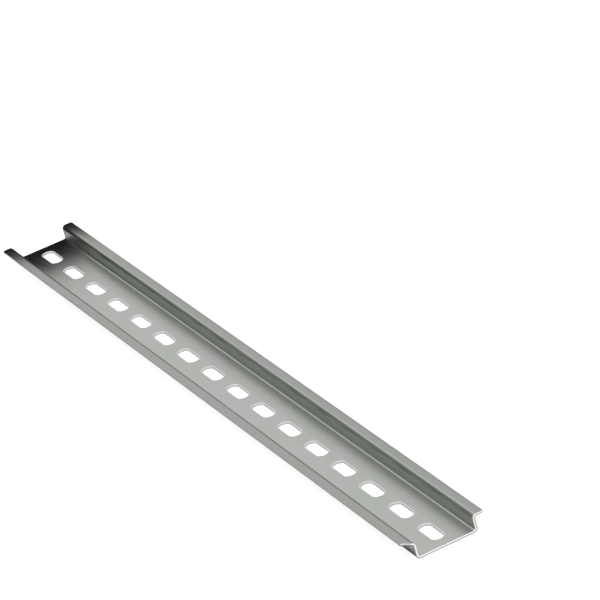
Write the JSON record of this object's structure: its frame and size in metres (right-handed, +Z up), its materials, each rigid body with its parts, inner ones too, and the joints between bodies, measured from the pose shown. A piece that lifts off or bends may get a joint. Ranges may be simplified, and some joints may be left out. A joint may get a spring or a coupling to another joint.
{
  "type": "din rail",
  "caption": "Slotted top hat mounting rail of zinc-plated steel strip, a shallow channel with a lip along each side for clip-on devices.",
  "frame": {"origin": "centre of the underside of the web, halfway along the rail", "axes": "+X along the rail, +Y across it, +Z up out of the open channel"},
  "size_m": [0.402, 0.035, 0.0075],
  "materials": {
    "zinc_steel": "bright zinc plated, faint rolling grain along its length"
  },
  "bodies": {
    "root": {"rail": "zinc_steel"}
  },
  "joints": []
}
